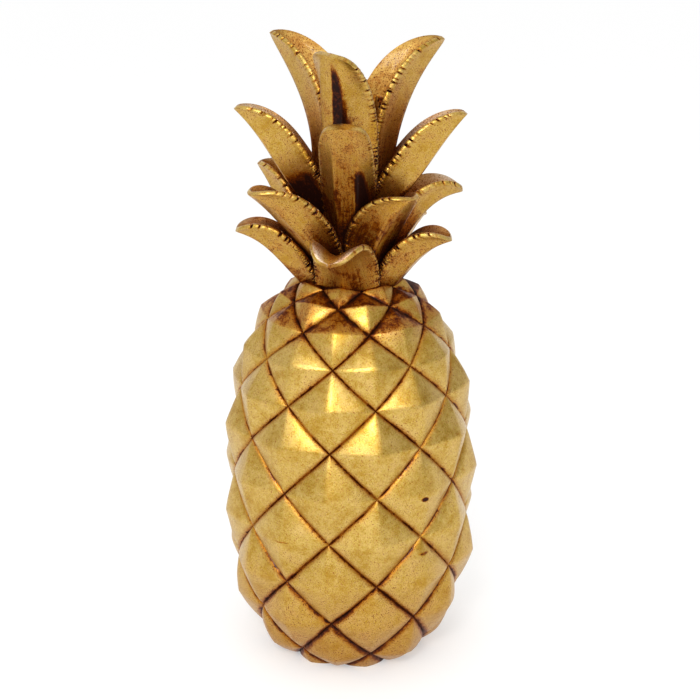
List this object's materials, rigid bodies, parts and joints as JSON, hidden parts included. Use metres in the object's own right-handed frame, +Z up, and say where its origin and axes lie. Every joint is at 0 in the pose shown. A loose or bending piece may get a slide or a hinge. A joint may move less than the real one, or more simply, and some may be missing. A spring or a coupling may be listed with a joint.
{
  "type": "pineapple ornament",
  "caption": "Life-size pineapple sculpture cast in one piece, with faceted pyramid eyes between spiral grooves and a crown of thick gutter-shaped leaves, in antique gold.",
  "frame": {"origin": "centre of the flat foot, on the axis of the fruit", "axes": "+Z up along the axis of the fruit, -Y towards the viewer of the picture, +X to the viewer's right"},
  "size_m": [0.1346, 0.1346, 0.3289],
  "materials": {
    "gilding": "antique gold leaf rubbed with dark wash, over cast resin"
  },
  "bodies": {
    "root": {"pineapple": "gilding"}
  },
  "joints": []
}
